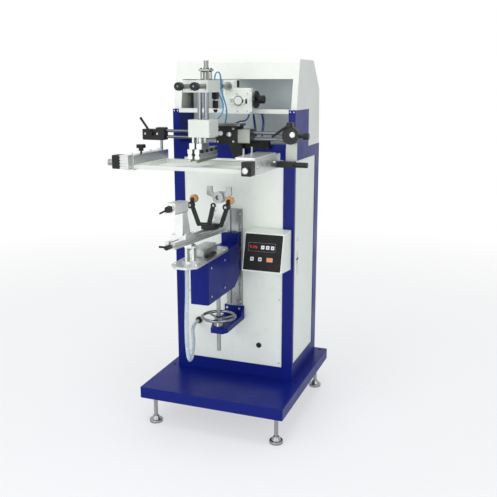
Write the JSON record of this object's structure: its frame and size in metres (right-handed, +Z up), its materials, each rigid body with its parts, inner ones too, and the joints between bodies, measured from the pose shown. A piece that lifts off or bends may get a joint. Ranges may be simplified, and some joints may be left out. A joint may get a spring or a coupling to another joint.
{
  "type": "container screen printer",
  "caption": "Floor-standing screen printer for round containers: knee-lifted tilting jig, sliding screen carriage, stroked squeegee head and hooded column.",
  "frame": {"origin": "middle of the machine's footprint, on the floor", "axes": "+Z up, +Y from the operator to the back of the column, +X to the operator's right"},
  "size_m": [0.746, 1.1056, 1.6],
  "materials": {
    "navy_paint": "gloss enamel",
    "cream_paint": "satin powder coat",
    "black_plastic": "moulded",
    "black_metal": "black oxide",
    "chrome": "polished",
    "steel": "ground",
    "aluminium": "anodised",
    "grey_paint": "satin",
    "tan_rubber": "silicone",
    "green_urethane": "cast urethane",
    "white_paint": "satin",
    "membrane": "embossed film",
    "mesh_white": "woven monofilament",
    "clear_tube": "translucent"
  },
  "bodies": {
    "machine": {"base_tray": "navy_paint", "levelling_feet": "steel", "column_frame": "navy_paint", "cover_panels": "cream_paint", "hood": "cream_paint", "inner_panel": "grey_paint", "control_box": "cream_paint", "control_face": "black_plastic", "key_pads": "membrane", "guide_plate": "steel", "shelf_bracket": "navy_paint", "slide_unit": "cream_paint", "bearing_block": "black_metal", "bush_housing": "aluminium", "cable_chain": "black_plastic", "table_hose": "clear_tube"},
    "door": {"side_door": "cream_paint"},
    "lift_wheel": {"handwheel": "chrome"},
    "knee": {"knee_box": "navy_paint", "lift_screw": "steel", "table_plate": "aluminium"},
    "table_lock": {"table_lock_lever": "black_plastic"},
    "cradle": {"tilt_cradle": "aluminium"},
    "jig": {"jig_rail": "aluminium", "headstock": "aluminium", "roller_arms": "black_metal"},
    "rail_lock": {"rail_knob": "black_plastic"},
    "tail": {"tailstock": "aluminium"},
    "quill": {"tail_quill": "chrome"},
    "quill_feed": {"tail_knob": "black_plastic"},
    "centre": {"tail_cone": "black_plastic"},
    "driver": {"drive_fork": "steel"},
    "front_roller": {"roller_front": "tan_rubber"},
    "rear_roller": {"roller_rear": "tan_rubber"},
    "head": {"head_post": "cream_paint", "head_shaft": "steel", "crosshead": "white_paint", "stroke_cylinder": "aluminium"},
    "cross_feed": {"feed_knob": "black_plastic"},
    "left_adjuster": {"left_adjust_knob": "black_plastic"},
    "right_adjuster": {"right_adjust_knob": "black_plastic"},
    "stroke": {"guide_rods": "chrome", "head_box": "white_paint"},
    "squeegee": {"squeegee_holder": "aluminium", "squeegee_blade": "green_urethane"},
    "flood": {"flood_bar": "aluminium"},
    "carriage": {"cross_rods": "steel", "rod_clamps": "black_metal", "screen_arms": "aluminium", "clamp_screws": "steel", "drop_bracket": "white_paint", "end_blocks": "black_metal", "screen_frame": "white_paint", "screen_mesh": "mesh_white"},
    "left_handle": {"left_lever": "black_plastic"},
    "right_handle": {"right_lever": "black_plastic"},
    "rod_lock": {"right_lock_knob": "black_plastic"},
    "star": {"star_knob": "black_plastic"},
    "left_end": {"left_end_knob": "steel"},
    "right_end": {"right_end_knob": "steel"}
  },
  "joints": [
    {"name": "door_hinge", "type": "hinge", "parent": "machine", "child": "door", "pos_m": [0.279, 0.419, 0.72], "axis": [0, 0, 1], "range_deg": [0, 110]},
    {"name": "knee_lift", "type": "slide", "parent": "machine", "child": "knee", "axis": [0, 0, 1], "range_m": [-0.08, 0.05], "deforming": ["table_hose"]},
    {"name": "handwheel_spin", "type": "hinge", "parent": "machine", "child": "lift_wheel", "pos_m": [0.003, -0.081, 0.518], "axis": [0, 0, 1], "range_deg": [-4500, 7200]},
    {"name": "table_lock_turn", "type": "hinge", "parent": "knee", "child": "table_lock", "pos_m": [0.044, -0.212, 0.834], "axis": [-1, 0, 0], "range_deg": [0, 40]},
    {"name": "table_swivel", "type": "hinge", "parent": "knee", "child": "cradle", "pos_m": [0, -0.346, 0.84], "axis": [0, 0, 1], "range_deg": [-8, 8]},
    {"name": "jig_tilt", "type": "hinge", "parent": "cradle", "child": "jig", "pos_m": [0, -0.346, 0.884], "axis": [1, 0, 0], "range_deg": [-4, 4]},
    {"name": "rail_lock_turn", "type": "hinge", "parent": "jig", "child": "rail_lock", "pos_m": [0, -0.5241, 0.923], "axis": [0, 0.9984, -0.0558], "range_deg": [-90, 90]},
    {"name": "tailstock_slide", "type": "slide", "parent": "jig", "child": "tail", "axis": [0, 0.9984, -0.0558], "range_m": [-0.055, 0.12]},
    {"name": "quill_feed", "type": "slide", "parent": "tail", "child": "quill", "axis": [0, 0.9984, -0.0558], "range_m": [0, 0.015]},
    {"name": "quill_knob_turn", "type": "hinge", "parent": "tail", "child": "quill_feed", "pos_m": [0, -0.5134, 1.06062], "axis": [0, 0.9984, -0.0558], "range_deg": [-10, 1360]},
    {"name": "centre_spin", "type": "hinge", "parent": "quill", "child": "centre", "pos_m": [0, -0.37861, 1.05308], "axis": [0, 0.9984, -0.0558], "continuous": true},
    {"name": "driver_spin", "type": "hinge", "parent": "jig", "child": "driver", "pos_m": [0, -0.05911, 1.03522], "axis": [0, 0.9984, -0.0558], "continuous": true},
    {"name": "front_roller_spin", "type": "hinge", "parent": "jig", "child": "front_roller", "pos_m": [-0.08, -0.13381, 1.03739], "axis": [0, 0.9984, -0.0558], "continuous": true},
    {"name": "rear_roller_spin", "type": "hinge", "parent": "jig", "child": "rear_roller", "pos_m": [0.08, -0.13381, 1.03739], "axis": [0, 0.9984, -0.0558], "continuous": true},
    {"name": "head_cross_slide", "type": "slide", "parent": "machine", "child": "head", "axis": [1, 0, 0], "range_m": [-0.015, 0.015]},
    {"name": "cross_feed_turn", "type": "hinge", "parent": "machine", "child": "cross_feed", "pos_m": [0.11, 0.071, 1.436], "axis": [1, 0, 0], "range_deg": [-2760, 2760]},
    {"name": "left_adjuster_turn", "type": "hinge", "parent": "head", "child": "left_adjuster", "pos_m": [-0.034, -0.346, 1.491], "axis": [0, 1, 0], "range_deg": [-180, 180]},
    {"name": "right_adjuster_turn", "type": "hinge", "parent": "head", "child": "right_adjuster", "pos_m": [0.03, -0.346, 1.491], "axis": [0, 1, 0], "range_deg": [-180, 180]},
    {"name": "head_stroke", "type": "slide", "parent": "head", "child": "stroke", "axis": [0, 0, 1], "range_m": [-0.026, 0.03]},
    {"name": "squeegee_lift", "type": "slide", "parent": "stroke", "child": "squeegee", "axis": [0, 0, 1], "range_m": [0, 0.006]},
    {"name": "flood_lift", "type": "slide", "parent": "stroke", "child": "flood", "axis": [0, 0, 1], "range_m": [0, 0.006]},
    {"name": "carriage_travel", "type": "slide", "parent": "machine", "child": "carriage", "axis": [1, 0, 0], "range_m": [-0.09, 0.1]},
    {"name": "left_lever_turn", "type": "hinge", "parent": "carriage", "child": "left_handle", "pos_m": [-0.32, -0.043, 1.293], "axis": [0, 1, 0], "range_deg": [-30, 60]},
    {"name": "right_lever_turn", "type": "hinge", "parent": "carriage", "child": "right_handle", "pos_m": [0.298, -0.044, 1.34], "axis": [0, 1, 0], "range_deg": [-20, 60]},
    {"name": "rod_lock_turn", "type": "hinge", "parent": "carriage", "child": "rod_lock", "pos_m": [0.36, -0.016, 1.295], "axis": [1, 0, 0], "range_deg": [-180, 180]},
    {"name": "star_knob_turn", "type": "hinge", "parent": "carriage", "child": "star", "pos_m": [-0.28, -0.206, 1.246], "axis": [0, 0, 1], "range_deg": [-180, 180]},
    {"name": "left_end_turn", "type": "hinge", "parent": "carriage", "child": "left_end", "pos_m": [-0.345, -0.326, 1.197], "axis": [1, 0, 0], "range_deg": [-180, 180]},
    {"name": "right_end_turn", "type": "hinge", "parent": "carriage", "child": "right_end", "pos_m": [0.231, -0.356, 1.19], "axis": [0, 1, 0], "range_deg": [-180, 180]}
  ],
  "couplings": [
    {"joint": "handwheel_spin", "follows": "knee_lift", "rad_per_m": -1570.8},
    {"joint": "cross_feed_turn", "follows": "head_cross_slide", "rad_per_m": 3141.6},
    {"joint": "quill_knob_turn", "follows": "quill_feed", "rad_per_m": 1570.8}
  ]
}
